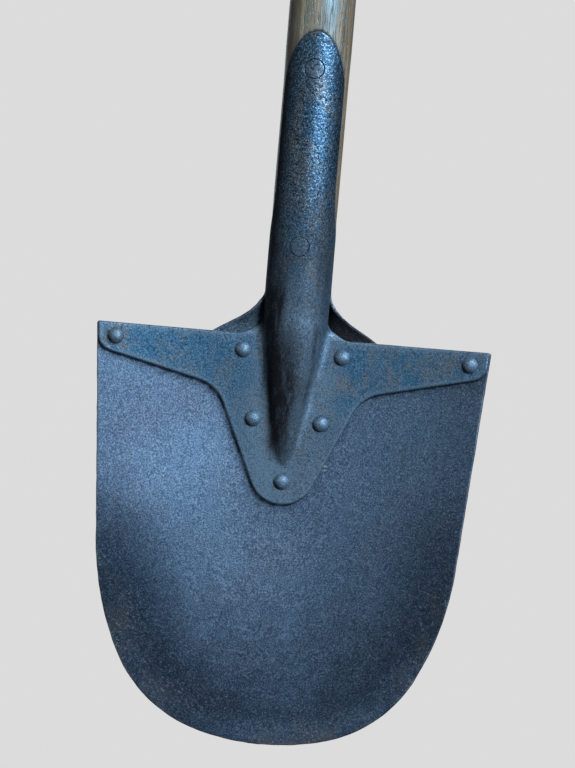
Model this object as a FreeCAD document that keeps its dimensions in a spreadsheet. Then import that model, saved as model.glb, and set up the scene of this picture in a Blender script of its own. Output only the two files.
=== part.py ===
import FreeCAD, Part
import math
import os

import Sketcher

# Camp shovel: a dished steel blade held between a front and a back strap, whose
# upper ends wrap an ash shaft with a crossbar grip.  Millimetres, +Z up the
# shaft, +Y towards the back of the blade, origin below the shaft axis at the
# level of the blade's tip.

SIZES = {
    # sheet metal
    "sheet_thickness": 1.5,
    "dish_flat_half_width": 24,
    "dish_radius": 240,
    "curl_height": 95,
    "curl_radius": 900,
    # blade outline
    "blade_height": 166,
    "shoulder_half_width": 80.4,
    "tip_radius": 97.7,
    "tip_half_chord": 25.8,
    "corner_radius": 56.2,
    "side_radius": 121.8,
    "side_straight_start": 77.4,
    # strap outline on the blade
    "wing_end_half_width": 79.4,
    "wing_end_height": 161.5,
    "wing_top_half_width": 79.8,
    "wing_corner_x": 73.6,
    "wing_corner_height": 154.0,
    "wing_corner_radius": 7,
    "wing_root_x": 37.0,
    "wing_root_height": 145.4,
    "root_radius": 16,
    "tongue_side_x": 26.0,
    "tongue_side_height": 135.4,
    "tongue_turn_x": 12.3,
    "tongue_turn_height": 105.3,
    "tongue_tip_height": 97.4,
    "tongue_tip_radius": 13.5,
    # strap roots beside the socket
    "front_root_half_width": 22,
    "front_root_height": 176,
    "front_root_radius": 11,
    "back_root_half_width": 33,
    "back_root_height": 184,
    "back_root_radius": 30,
    # socket and shaft
    "shaft_radius": 13.5,
    "socket_cone_top": 169,
    "socket_cone_foot": 115.8,
    "socket_cone_foot_radius": 3.92,
    "socket_nose_height": 112.5,
    "socket_nose_radius": 3.98,
    "wood_foot_height": 117,
    "wood_foot_radius": 2.6,
    "rod_foot_height": 202,
    "seam_opening_height": 205,
    "seam_full_height": 230,
    "seam_setback": 5.4,
    "strap_top_height": 289.3,
    "strap_crown_half_width": 6.47,
    "strap_crown_height": 286,
    "strap_crown_radius": 8,
    "strap_flank_half_width": 12.9,
    "strap_flank_height": 262,
    "strap_flank_radius": 34.7,
    # blade rivets
    "rivet_shank_radius": 2,
    "rivet_head_radius": 3.35,
    "rivet_head_height": 2,
    "shoulder_rivet_x": 72.5,
    "shoulder_rivet_height": 160.4,
    "upper_rivet_x": 20.3,
    "upper_rivet_height": 159.2,
    "lower_rivet_x": 13.9,
    "lower_rivet_height": 131.5,
    "tongue_rivet_height": 106.8,
    # flush rivets through the socket
    "socket_rivet_shank_radius": 2.5,
    "socket_rivet_head_radius": 4,
    "socket_rivet_head_depth": 2.5,
    "socket_rivet_overlength": 1,
    "socket_rivet_stand": 0.1,
    "upper_socket_rivet_height": 273.9,
    "lower_socket_rivet_height": 202.1,
    # crossbar grip
    "grip_height": 554,
    "grip_half_length": 56,
    "grip_radius": 16,
    "grip_end_radius": 12.5,
    "grip_end_rounding": 7,
    "grip_middle_half_length": 14,
    "tenon_radius": 7,
    "tenon_rise": 12,
    "wedge_half_width": 5.5,
    "wedge_length": 9,
    "wedge_top_half_thickness": 1.2,
    "wedge_foot_half_thickness": 0.3,
    # strap over the grip
    "grip_strap_half_width": 7,
    "grip_strap_leg": 11.5,
    "grip_strap_drop": 72,
    "grip_strap_knee": 25,
    "grip_strap_end_rounding": 6,
    "grip_rivet_head_radius": 3.5,
    "grip_rivet_head_height": 1.5,
    "upper_grip_rivet_drop": 36,
    "lower_grip_rivet_drop": 60,
    "bar_pin_radius": 2,
    # how far trimming solids pass what they trim
    "trim_reach": 30,
    "trim_margin": 3,
}

SOCKET_WALL_TOP = "Sizes.strap_top_height + Sizes.sheet_thickness"
INNER_RADIUS = "(Sizes.shaft_radius - Sizes.sheet_thickness)"
SIDE_TAPER_START = math.radians(4.4)  # the outline's tangent constraints settle the real taper
EDGE_TOLERANCE = 0.01
TIP_TOLERANCE = 0.05

doc = FreeCAD.newDocument("camp_shovel")
sheet = doc.addObject("Spreadsheet::Sheet", "Sizes")
for row, (alias, value) in enumerate(SIZES.items(), start=1):
    sheet.set(f"A{row}", alias)
    sheet.set(f"B{row}", str(value))
    sheet.setAlias(f"B{row}", alias)
doc.recompute()


# ---------------------------------------------------------------- helpers

def bind(thing, prop, expression):
    """Tie one property of an object to the size sheet."""
    thing.setExpression(prop, expression)


def origin_feature(body, role):
    for feature in body.Origin.OriginFeatures:
        if feature.Role == role:
            return feature
    raise ValueError(f"{body.Label} has no {role}")


def new_body(label):
    body = doc.addObject("PartDesign::Body", label)
    body.Label = label
    return body


def new_sketch(body, role):
    sketch = body.newObject("Sketcher::SketchObject", f"{body.Label}_sketch")
    sketch.AttachmentSupport = (origin_feature(body, role), [""])
    sketch.MapMode = "FlatFace"
    return sketch


def arc_between(start, end, radius, side):
    """Shorter arc from start to end; side 1 puts its centre left of the chord, -1 right."""
    chord = end - start
    middle = (start + end) * 0.5
    normal = FreeCAD.Vector(-chord.y, chord.x, 0).normalize()
    rise = math.sqrt(max(radius ** 2 - chord.Length ** 2 / 4, 0))
    centre = middle + normal * (side * rise)
    if side < 0:
        start, end = end, start
    first = math.atan2(start.y - centre.y, start.x - centre.x)
    last = math.atan2(end.y - centre.y, end.x - centre.x)
    if last < first:
        last += 2 * math.pi
    circle = Part.Circle(centre, FreeCAD.Vector(0, 0, 1), radius)
    return Part.ArcOfCircle(circle, first, last)


def fix_point(sketch, edge, end, axis, expression):
    """Hold one coordinate of an edge's end at a sheet expression."""
    value = float(sketch.evalExpression(expression))
    if value == 0:
        line = -2 if axis == "X" else -1
        sketch.addConstraint(Sketcher.Constraint("PointOnObject", edge, end, line))
        return
    kind = "Distance" + axis
    index = sketch.addConstraint(Sketcher.Constraint(kind, -1, 1, edge, end, value))
    sketch.setExpression(f"Constraints[{index}]", expression)


def fix_radius(sketch, edge, expression):
    """Hold an arc's radius at a sheet expression."""
    value = float(sketch.evalExpression(expression))
    index = sketch.addConstraint(Sketcher.Constraint("Radius", edge, value))
    sketch.setExpression(f"Constraints[{index}]", expression)


def draw_loop(sketch, corners, arcs=None):
    """Closed loop through corners of sheet expressions; arcs maps an edge to (radius, side)."""
    arcs = arcs or {}
    points = []
    for across, along in corners:
        x = float(sketch.evalExpression(across))
        y = float(sketch.evalExpression(along))
        points.append(FreeCAD.Vector(x, y, 0))
    count = len(corners)
    ends = []
    for number in range(count):
        start = points[number]
        end = points[(number + 1) % count]
        if number in arcs:
            radius, side = arcs[number]
            shape = arc_between(start, end, float(sketch.evalExpression(radius)), side)
        else:
            shape = Part.LineSegment(start, end)
            side = 1
        edge = sketch.addGeometry(shape, False)
        first, last = (1, 2) if side > 0 else (2, 1)
        ends.append((edge, first, last))
    for number, (edge, first, last) in enumerate(ends):
        follower, follower_first, _ = ends[(number + 1) % count]
        sketch.addConstraint(
            Sketcher.Constraint("Coincident", edge, last, follower, follower_first))
        across, along = corners[number]
        fix_point(sketch, edge, first, "X", across)
        fix_point(sketch, edge, first, "Y", along)
        if number in arcs:
            fix_radius(sketch, edge, arcs[number][0])


def mirrored_loop(half, half_arcs=None):
    """Corners and arcs of a loop symmetric about the vertical axis, from its right half."""
    half_arcs = half_arcs or {}
    left = [("-(%s)" % across, along) for across, along in reversed(half)]
    corners = half + left
    last = len(corners) - 2
    arcs = dict(half_arcs)
    for number, bend in half_arcs.items():
        arcs[last - number] = bend
    return corners, arcs


def pad(body, sketch, length):
    """Pad equally to both sides of the sketch's plane."""
    feature = body.newObject("PartDesign::Pad", f"{body.Label}_pad")
    feature.Profile = sketch
    feature.SideType = "Symmetric"
    bind(feature, "Length", length)
    sketch.Visibility = False
    return feature


def prism(label, role, loops, length):
    """Body padded from closed loops on one of its origin planes."""
    body = new_body(label)
    sketch = new_sketch(body, role)
    for corners, arcs in loops:
        draw_loop(sketch, corners, arcs)
    pad(body, sketch, length)
    return body


def turned(label, role, axis, corners, arcs=None):
    """Body turned once round a sketch axis."""
    body = new_body(label)
    sketch = new_sketch(body, role)
    draw_loop(sketch, corners, arcs)
    feature = body.newObject("PartDesign::Revolution", f"{label}_turning")
    feature.Profile = sketch
    feature.ReferenceAxis = (sketch, [axis])
    feature.Angle = 360
    return body


def boolean(kind, label, base, tool):
    result = doc.addObject("Part::" + kind, label)
    result.Label = label
    result.Base = base
    result.Tool = tool
    result.Refine = True
    return result


def compound(label, links):
    result = doc.addObject("Part::Compound", label)
    result.Links = links
    return result


# ---------------------------------------------------------------- dished sheets

def dished_sheet(label, layer, top):
    """Upright sheet above the curl: flat in the middle, its sides bent forward.

    layer counts sheet thicknesses from the blade's middle surface, + to the back.
    """
    body = new_body(label)
    sketch = new_sketch(body, "XY_Plane")
    bind(sketch, ".AttachmentOffset.Base.z", "Sizes.curl_height")
    flat = "Sizes.dish_flat_half_width"
    rim = "(Sizes.shoulder_half_width + Sizes.trim_margin)"
    faces = []
    for offset in (layer - 0.5, layer + 0.5):
        depth = f"{offset} * Sizes.sheet_thickness"
        bend = f"(Sizes.dish_radius + {depth})"
        rim_depth = f"sqrt({bend}^2 - ({rim} - {flat})^2) - Sizes.dish_radius"
        faces.append((depth, bend, rim_depth))
    (front, front_bend, front_rim), (back, back_bend, back_rim) = faces
    corners = [
        (rim, front_rim), (rim, back_rim),
        (flat, back), ("-" + flat, back),
        ("-" + rim, back_rim), ("-" + rim, front_rim),
        ("-" + flat, front), (flat, front),
    ]
    arcs = {1: (back_bend, 1), 3: (back_bend, 1), 5: (front_bend, -1), 7: (front_bend, -1)}
    draw_loop(sketch, corners, arcs)
    wall = body.newObject("PartDesign::Pad", f"{label}_wall")
    wall.Profile = sketch
    bind(wall, "Length", f"{top} - Sizes.curl_height")
    return body, sketch


def curled_sheet(label):
    """Blade sheet: the upright part and the lower part that curls forward."""
    body, section = dished_sheet(label, 0, "Sizes.blade_height")
    left = FreeCAD.Vector(-sheet.dish_flat_half_width, -sheet.curl_radius, 0)
    right = FreeCAD.Vector(sheet.dish_flat_half_width, -sheet.curl_radius, 0)
    curl_axis = section.addGeometry(Part.LineSegment(left, right), True)
    section.addConstraint(Sketcher.Constraint("Horizontal", curl_axis))
    fix_point(section, curl_axis, 1, "Y", "-Sizes.curl_radius")
    curl = body.newObject("PartDesign::Revolution", f"{label}_curl")
    curl.Profile = section
    curl.ReferenceAxis = (section, ["Axis0"])
    bind(curl, "Angle", "asin((Sizes.curl_height + Sizes.trim_margin) / Sizes.curl_radius)")
    curl.Reversed = True
    return body


def blade_prism():
    """Block with the blade's outline: three tangent arcs and a tapering straight on each side."""
    body = new_body("blade_prism")
    sketch = new_sketch(body, "XZ_Plane")
    tip, corner, side = sheet.tip_radius, sheet.corner_radius, sheet.side_radius
    shoulder = FreeCAD.Vector(sheet.shoulder_half_width, sheet.blade_height, 0)

    turn = math.asin(sheet.tip_half_chord / tip)
    tip_centre = FreeCAD.Vector(0, tip, 0)
    tip_end = FreeCAD.Vector(sheet.tip_half_chord, tip - tip * math.cos(turn), 0)
    corner_centre = tip_end + (tip_centre - tip_end) * (corner / tip)
    start = sheet.side_straight_start
    taper = SIDE_TAPER_START
    side_end_x = shoulder.x - (shoulder.y - start) * math.tan(taper)
    side_end = FreeCAD.Vector(side_end_x, start, 0)
    side_centre = side_end + FreeCAD.Vector(-math.cos(taper), math.sin(taper), 0) * side
    inward = (corner_centre - side_centre).normalize()
    corner_end = corner_centre + inward * corner

    def flip(point):
        return FreeCAD.Vector(-point.x, point.y, 0)

    right = [(tip_end, corner_end, corner), (corner_end, side_end, side)]
    bottom = sketch.addGeometry(arc_between(flip(tip_end), tip_end, tip, 1), False)
    sketch.addConstraint(Sketcher.Constraint("PointOnObject", bottom, 3, -2))
    sketch.addConstraint(Sketcher.Constraint("PointOnObject", -1, 1, bottom))
    fix_radius(sketch, bottom, "Sizes.tip_radius")
    fix_point(sketch, bottom, 2, "X", "Sizes.tip_half_chord")
    fix_point(sketch, bottom, 1, "X", "-Sizes.tip_half_chord")
    tops = []
    for sign, place in ((1, lambda point: point), (-1, flip)):
        joint_edge, joint_end = bottom, 2 if sign > 0 else 1
        for (first, last, radius), name in zip(right, ("corner_radius", "side_radius")):
            if sign > 0:
                arc = arc_between(first, last, radius, 1)
                near, far = 1, 2
            else:
                arc = arc_between(place(last), place(first), radius, 1)
                near, far = 2, 1
            edge = sketch.addGeometry(arc, False)
            sketch.addConstraint(
                Sketcher.Constraint("Tangent", joint_edge, joint_end, edge, near))
            fix_radius(sketch, edge, "Sizes." + name)
            joint_edge, joint_end = edge, far
        line = sketch.addGeometry(Part.LineSegment(place(side_end), place(shoulder)), False)
        sketch.addConstraint(Sketcher.Constraint("Tangent", joint_edge, joint_end, line, 1))
        fix_point(sketch, line, 1, "Y", "Sizes.side_straight_start")
        outer = "Sizes.shoulder_half_width" if sign > 0 else "-Sizes.shoulder_half_width"
        fix_point(sketch, line, 2, "X", outer)
        fix_point(sketch, line, 2, "Y", "Sizes.blade_height")
        tops.append(line)
    shoulder_line = sketch.addGeometry(Part.LineSegment(shoulder, flip(shoulder)), False)
    sketch.addConstraint(Sketcher.Constraint("Coincident", shoulder_line, 1, tops[0], 2))
    sketch.addConstraint(Sketcher.Constraint("Coincident", shoulder_line, 2, tops[1], 2))
    pad(body, sketch, "2 * Sizes.trim_reach")
    return body


def strap_prism(side):
    """Block with a strap's outline on the blade: two wings, a tongue and roots by the socket."""
    corners, arcs = mirrored_loop(
        [
            ("Sizes.tongue_turn_x", "Sizes.tongue_turn_height"),
            ("Sizes.tongue_side_x", "Sizes.tongue_side_height"),
            ("Sizes.wing_root_x", "Sizes.wing_root_height"),
            ("Sizes.wing_corner_x", "Sizes.wing_corner_height"),
            ("Sizes.wing_end_half_width", "Sizes.wing_end_height"),
            ("Sizes.wing_top_half_width", "Sizes.blade_height"),
            (f"Sizes.{side}_root_half_width", "Sizes.blade_height"),
            (INNER_RADIUS, f"Sizes.{side}_root_height"),
        ],
        {
            1: ("Sizes.root_radius", -1),
            3: ("Sizes.wing_corner_radius", 1),
            6: (f"Sizes.{side}_root_radius", -1),
        })
    closing = len(corners) - 1
    corners.append(("0", "Sizes.tongue_tip_height"))
    arcs[closing] = ("Sizes.tongue_tip_radius", 1)
    arcs[closing + 1] = ("Sizes.tongue_tip_radius", 1)
    return prism(f"{side}_strap_prism", "XZ_Plane", [(corners, arcs)], "2 * Sizes.trim_reach")


# ---------------------------------------------------------------- wood and socket blanks

def shaft_core():
    """Wood inside the socket: a round core that tapers to a blunt foot between the straps."""
    return turned("shaft_core", "YZ_Plane", "V_Axis", [
        ("0", "Sizes.wood_foot_height"),
        ("Sizes.wood_foot_radius", "Sizes.wood_foot_height"),
        (INNER_RADIUS, "Sizes.socket_cone_top"),
        (INNER_RADIUS, SOCKET_WALL_TOP),
        ("0", SOCKET_WALL_TOP),
    ])


def shaft_rod():
    """Full-diameter shaft from inside the closed socket up to the crossbar's axis."""
    return turned("shaft_rod", "YZ_Plane", "V_Axis", [
        ("0", "Sizes.rod_foot_height"),
        ("Sizes.shaft_radius", "Sizes.rod_foot_height"),
        ("Sizes.shaft_radius", "Sizes.grip_height"),
        ("0", "Sizes.grip_height"),
    ])


def socket_blank():
    """Outside of the socket, narrowing with the wood to a round nose in the straps' plates."""
    return turned("socket_blank", "YZ_Plane", "V_Axis", [
        ("0", "Sizes.socket_nose_height"),
        ("Sizes.socket_cone_foot_radius", "Sizes.socket_cone_foot"),
        ("Sizes.shaft_radius", "Sizes.socket_cone_top"),
        ("Sizes.shaft_radius", SOCKET_WALL_TOP),
        ("0", SOCKET_WALL_TOP),
    ], {0: ("Sizes.socket_nose_radius", 1)})


def blade_notch():
    """Block that opens the blade's top edge for the tapered foot of the wood."""
    half = [
        ("Sizes.wood_foot_radius", "Sizes.wood_foot_height"),
        (INNER_RADIUS, "Sizes.socket_cone_top"),
    ]
    corners, _ = mirrored_loop(half)
    return prism("blade_notch", "XZ_Plane", [(corners, {})], "2 * Sizes.trim_reach")


def strap_end_prism():
    """Block that gives the socket halves their rounded upper end, seen from the front."""
    right = [
        ("Sizes.trim_reach", "Sizes.tongue_tip_height"),
        ("Sizes.trim_reach", "Sizes.seam_opening_height"),
        ("Sizes.strap_flank_half_width", "Sizes.strap_flank_height"),
        ("Sizes.strap_crown_half_width", "Sizes.strap_crown_height"),
    ]
    corners, _ = mirrored_loop(right)
    corners.insert(len(right), ("0", "Sizes.strap_top_height"))
    arcs = {
        2: ("Sizes.strap_flank_radius", 1), 3: ("Sizes.strap_crown_radius", 1),
        4: ("Sizes.strap_crown_radius", 1), 5: ("Sizes.strap_flank_radius", 1),
    }
    return prism("strap_end_prism", "XZ_Plane", [(corners, arcs)], "2 * Sizes.trim_reach")


def half_space(label, sign):
    """Block on one side of the blade, and of the seam that opens above the closed socket.

    Over the blade it starts at the middle of the strap's plate, which it runs into.
    """
    far = f"{sign} * Sizes.trim_reach"
    plate_middle = f"{sign} * Sizes.sheet_thickness"
    seam_edge = f"{sign} * Sizes.seam_setback"
    corners = [
        (plate_middle, "Sizes.tongue_tip_height"),
        (plate_middle, "Sizes.blade_height"),
        ("0", "Sizes.blade_height"),
        ("0", "Sizes.seam_opening_height"),
        (seam_edge, "Sizes.seam_full_height"),
        (seam_edge, SOCKET_WALL_TOP),
        (far, SOCKET_WALL_TOP),
        (far, "Sizes.tongue_tip_height"),
    ]
    return prism(label, "YZ_Plane", [(corners, {})], "2 * Sizes.trim_reach")


# ---------------------------------------------------------------- fasteners

def rivet(label, half_grip, shank, head, head_height):
    """Rivet along Y with a domed head on each side of the layers it clamps."""
    dome = f"(({head})^2 + ({head_height})^2) / (2 * ({head_height}))"
    crown = f"({half_grip} + {head_height})"
    return turned(label, "XY_Plane", "V_Axis", [
        ("0", "-" + crown),
        (head, f"-({half_grip})"),
        (shank, f"-({half_grip})"),
        (shank, half_grip),
        (head, half_grip),
        ("0", crown),
    ], {0: (dome, 1), 4: (dome, 1)})


def blade_rivet(label, sign, across, height):
    """Rivet through both straps and the blade, square to the dished sheet."""
    body = rivet(
        label, "(1.5 * Sizes.sheet_thickness)", "Sizes.rivet_shank_radius",
        "Sizes.rivet_head_radius", "Sizes.rivet_head_height")
    bind(body, ".Placement.Base.x", f"{sign} * {across}")
    bind(body, ".Placement.Base.z", height)
    beyond_flat = float(body.evalExpression(f"{across} - Sizes.dish_flat_half_width"))
    if beyond_flat > 0:
        run = f"({across} - Sizes.dish_flat_half_width)"
        body.Placement.Rotation = FreeCAD.Rotation(FreeCAD.Vector(0, 0, 1), 1)
        bind(body, ".Placement.Base.y", f"sqrt(Sizes.dish_radius^2 - {run}^2) - Sizes.dish_radius")
        bind(body, ".Placement.Rotation.Angle", f"-{sign} * asin({run} / Sizes.dish_radius)")
    return body


def blade_rivets():
    pairs = [
        ("shoulder", "Sizes.shoulder_rivet_x", "Sizes.shoulder_rivet_height"),
        ("upper", "Sizes.upper_rivet_x", "Sizes.upper_rivet_height"),
        ("lower", "Sizes.lower_rivet_x", "Sizes.lower_rivet_height"),
    ]
    rivets = []
    for place, across, height in pairs:
        for hand, sign in (("left", -1), ("right", 1)):
            rivets.append(blade_rivet(f"{hand}_{place}_rivet", sign, across, height))
    rivets.append(blade_rivet("tongue_rivet", 0, "0", "Sizes.tongue_rivet_height"))
    return rivets


def socket_rivet_blank(label, height):
    """Rivet through the socket and the wood, its round heads let in and left long."""
    shank = "Sizes.socket_rivet_shank_radius"
    head = "Sizes.socket_rivet_head_radius"
    seat = "(Sizes.shaft_radius - Sizes.socket_rivet_head_depth)"
    long_end = "(Sizes.shaft_radius + Sizes.socket_rivet_overlength)"
    body = turned(f"{label}_blank", "XY_Plane", "V_Axis", [
        ("0", "-" + long_end),
        (head, "-" + long_end),
        (head, "-" + seat),
        (shank, "-" + seat),
        (shank, seat),
        (head, seat),
        (head, long_end),
        ("0", long_end),
    ])
    bind(body, ".Placement.Base.z", height)
    return body


def socket_rivet(label, blank, height):
    """The same rivet dressed off just proud of the socket's round face."""
    face = doc.addObject("Part::Cylinder", f"{label}_face")
    bind(face, "Radius", "Sizes.shaft_radius + Sizes.socket_rivet_stand")
    bind(face, "Height", "4 * Sizes.socket_rivet_head_radius")
    bind(face, ".Placement.Base.z", f"{height} - 2 * Sizes.socket_rivet_head_radius")
    return boolean("Common", label, blank, face)


# ---------------------------------------------------------------- grip

def grip_bar_blank():
    """Turned crossbar: straight middle with a strap groove, barrel-shaped arms, rounded ends."""
    end_x = "Sizes.grip_half_length"
    rounding = "Sizes.grip_end_rounding"
    shoulder_x = f"({end_x} - {rounding})"
    groove = "(Sizes.grip_radius - Sizes.sheet_thickness)"
    drop = "(Sizes.grip_radius - Sizes.grip_end_radius)"
    run = f"({shoulder_x} - Sizes.grip_middle_half_length)"
    barrel = f"({run}^2 + {drop}^2) / (2 * {drop})"
    half = [
        (end_x, "0"),
        (end_x, f"Sizes.grip_end_radius - {rounding}"),
        (shoulder_x, "Sizes.grip_end_radius"),
        ("Sizes.grip_middle_half_length", "Sizes.grip_radius"),
        ("Sizes.grip_strap_half_width", "Sizes.grip_radius"),
        ("Sizes.grip_strap_half_width", groove),
    ]
    corners, arcs = mirrored_loop(half, {1: (rounding, 1), 2: (barrel, 1)})
    body = turned("grip_bar_blank", "XZ_Plane", "H_Axis", corners, arcs)
    bind(body, ".Placement.Base.z", "Sizes.grip_height")
    return body


def tenon(label):
    """Round tenon on the shaft's end, and the blind bore that it fills in the crossbar."""
    rod = doc.addObject("Part::Cylinder", label)
    bind(rod, "Radius", "Sizes.tenon_radius")
    bind(rod, "Height", "2 * Sizes.grip_radius + Sizes.tenon_rise")
    bind(rod, ".Placement.Base.z", "Sizes.grip_height - 2 * Sizes.grip_radius")
    return rod


def saddle():
    """Hollow in the shaft's end that the crossbar's round middle sits in."""
    hollow = doc.addObject("Part::Cylinder", "saddle")
    bind(hollow, "Radius", "Sizes.grip_radius")
    bind(hollow, "Height", "2 * Sizes.trim_reach")
    hollow.Placement.Rotation = FreeCAD.Rotation(FreeCAD.Vector(0, 1, 0), 90)
    bind(hollow, ".Placement.Base.x", "-Sizes.trim_reach")
    bind(hollow, ".Placement.Base.z", "Sizes.grip_height")
    return hollow


def round_lower_corners(body, feature):
    """Round the corners at the lowest level, on edges that run through the strip's thickness."""
    doc.recompute()
    lowest = feature.Shape.BoundBox.ZMin
    names = []
    for number, edge in enumerate(feature.Shape.Edges, start=1):
        box = edge.BoundBox
        if box.ZMax - lowest < EDGE_TOLERANCE and box.XLength < EDGE_TOLERANCE:
            names.append(f"Edge{number}")
    rounding = body.newObject("PartDesign::Fillet", f"{body.Label}_ends")
    rounding.Base = (feature, names)
    bind(rounding, "Radius", "Sizes.grip_strap_end_rounding")


def grip_strap():
    """Steel strip bent over the crossbar with a leg down each face of the shaft."""
    inner = "(Sizes.grip_radius - Sizes.sheet_thickness)"
    outer = "Sizes.grip_radius"
    leg = "Sizes.grip_strap_leg"
    leg_outer = "(Sizes.grip_strap_leg + Sizes.sheet_thickness)"
    knee = "-Sizes.grip_strap_knee"
    foot = "-Sizes.grip_strap_drop"
    corners = [
        (leg, foot), (leg_outer, foot), (leg_outer, knee), (outer, "0"),
        ("0", outer), ("-" + outer, "0"),
        ("-" + leg_outer, knee), ("-" + leg_outer, foot), ("-" + leg, foot),
        ("-" + leg, knee), ("-" + inner, "0"), ("0", inner), (inner, "0"), (leg, knee),
    ]
    arcs = {3: (outer, 1), 4: (outer, 1), 10: (inner, -1), 11: (inner, -1)}
    body = new_body("grip_strap")
    sketch = new_sketch(body, "YZ_Plane")
    draw_loop(sketch, corners, arcs)
    strip = pad(body, sketch, "2 * Sizes.grip_strap_half_width")
    bind(body, ".Placement.Base.z", "Sizes.grip_height")
    round_lower_corners(body, strip)
    return body


def strap_seats():
    """Wood removed from the shaft's front and back so that the strap's legs lie in flats."""
    leg = "Sizes.grip_strap_leg"
    inner = "(Sizes.grip_radius - Sizes.sheet_thickness)"
    reach = "Sizes.trim_reach"
    knee = "-Sizes.grip_strap_knee"
    foot = "-Sizes.grip_strap_drop"
    right = [(leg, foot), (reach, foot), (reach, "0"), (inner, "0"), (leg, knee)]
    left = [("-" + across, along) for across, along in reversed(right)]
    body = new_body("strap_seats")
    sketch = new_sketch(body, "YZ_Plane")
    draw_loop(sketch, right)
    draw_loop(sketch, left)
    block = pad(body, sketch, "2 * Sizes.grip_strap_half_width")
    bind(body, ".Placement.Base.z", "Sizes.grip_height")
    round_lower_corners(body, block)
    return body


def grip_wedge():
    """Hardwood wedge that spreads the tenon inside the crossbar."""
    top = "Sizes.grip_height + Sizes.tenon_rise"
    foot = f"{top} - Sizes.wedge_length"
    corners, _ = mirrored_loop([
        ("Sizes.wedge_foot_half_thickness", foot),
        ("Sizes.wedge_top_half_thickness", top),
    ])
    return prism("grip_wedge", "YZ_Plane", [(corners, {})], "2 * Sizes.wedge_half_width")


def grip_rivet(label, drop):
    body = rivet(
        label, "(Sizes.grip_strap_leg + Sizes.sheet_thickness)", "Sizes.rivet_shank_radius",
        "Sizes.grip_rivet_head_radius", "Sizes.grip_rivet_head_height")
    bind(body, ".Placement.Base.z", f"Sizes.grip_height - {drop}")
    return body


def bar_pin():
    """Plain pin through the strap, the crossbar and the tenon, flush at both ends."""
    pin = doc.addObject("Part::Cylinder", "bar_pin")
    pin.Label = "bar_pin"
    bind(pin, "Radius", "Sizes.bar_pin_radius")
    bind(pin, "Height", "2 * Sizes.grip_radius")
    pin.Placement.Rotation = FreeCAD.Rotation(FreeCAD.Vector(1, 0, 0), 90)
    bind(pin, ".Placement.Base.y", "Sizes.grip_radius")
    bind(pin, ".Placement.Base.z", "Sizes.grip_height")
    return pin


# ---------------------------------------------------------------- assembly

core = shaft_core()
socket = socket_blank()
end_block = strap_end_prism()
rivets = blade_rivets()

socket_heights = {
    "upper_socket_rivet": "Sizes.upper_socket_rivet_height",
    "lower_socket_rivet": "Sizes.lower_socket_rivet_height",
}
socket_blanks = []
socket_rivets = []
for name, height in socket_heights.items():
    blank = socket_rivet_blank(name, height)
    socket_blanks.append(blank)
    socket_rivets.append(socket_rivet(name, blank, height))
strap_fasteners = compound("strap_fasteners", rivets + socket_blanks)

blade_outline = boolean("Common", "blade_outline", curled_sheet("blade_sheet"), blade_prism())
blade_notched = boolean("Cut", "blade_notched", blade_outline, blade_notch())
blade = boolean("Cut", "blade", blade_notched, strap_fasteners)

straps = []
for side, sign, layer in (("front", -1, -1), ("back", 1, 1)):
    plate_sheet, _ = dished_sheet(f"{side}_plate_sheet", layer, f"Sizes.{side}_root_height")
    plate = boolean("Common", f"{side}_plate", plate_sheet, strap_prism(side))
    half = boolean("Common", f"{side}_half_socket", socket, half_space(f"{side}_space", sign))
    sleeve = boolean("Common", f"{side}_sleeve", half, end_block)
    joined = boolean("Fuse", f"{side}_joined", plate, sleeve)
    hollow = boolean("Cut", f"{side}_hollow", joined, core)
    straps.append(boolean("Cut", f"{side}_strap", hollow, strap_fasteners))

grip_bar_bored = boolean("Cut", "grip_bar_bored", grip_bar_blank(), tenon("tenon_bore"))
pin = bar_pin()
grip_bar = boolean("Cut", "grip_bar", grip_bar_bored, pin)

strap_over_grip_blank = grip_strap()
strap_over_grip_blank.Label = "grip_strap_blank"
wedge = grip_wedge()
grip_rivets = [
    grip_rivet("upper_grip_rivet", "Sizes.upper_grip_rivet_drop"),
    grip_rivet("lower_grip_rivet", "Sizes.lower_grip_rivet_drop"),
]
grip_fasteners = compound("grip_fasteners", grip_rivets + [pin])
strap_over_grip = boolean("Cut", "grip_strap_drilled", strap_over_grip_blank, grip_fasteners)
strap_over_grip.Label = "grip_strap"

rod = boolean("Cut", "rod_saddled", shaft_rod(), saddle())
rod = boolean("Cut", "rod_with_seats", rod, strap_seats())
rod = boolean("Fuse", "rod_with_tenon", rod, tenon("tenon"))
shaft = boolean("Fuse", "shaft_blank", core, rod)
shaft_cuts = {
    "shaft_in_front_strap": straps[0],
    "shaft_in_back_strap": straps[1],
    "shaft_bored_for_socket": compound("socket_rivet_bores", socket_blanks),
    "shaft_wedged": wedge,
    "shaft": grip_fasteners,
}
for label, tool in shaft_cuts.items():
    shaft = boolean("Cut", label, shaft, tool)

PIECES = [blade, shaft, grip_bar, strap_over_grip, wedge, pin]
PIECES += straps + rivets + socket_rivets + grip_rivets

doc.recompute()


# ---------------------------------------------------------------- checks and export

for thing in doc.Objects:
    if "Invalid" in thing.State or "Error" in thing.State:
        raise RuntimeError(f"{thing.Label} failed: {thing.State}")

for piece in PIECES:
    if piece.Shape.isNull() or not piece.Shape.isValid() or piece.Shape.Volume <= 0:
        raise RuntimeError(f"{piece.Label} has no valid shape")

if abs(blade_outline.Shape.BoundBox.ZMin) > TIP_TOLERANCE:
    raise RuntimeError("the blade's curl doesn't reach its tip")

os.makedirs("parts", exist_ok=True)
for piece in PIECES:
    piece.Shape.exportStep(f"parts/{piece.Label}.step")
    box = piece.Shape.BoundBox
    print(f"{piece.Label:22s} solids {len(piece.Shape.Solids)} volume {piece.Shape.Volume:9.1f}"
          f"  x {box.XMin:6.1f} {box.XMax:6.1f}  y {box.YMin:6.1f} {box.YMax:6.1f}"
          f"  z {box.ZMin:6.1f} {box.ZMax:6.1f}")
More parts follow.
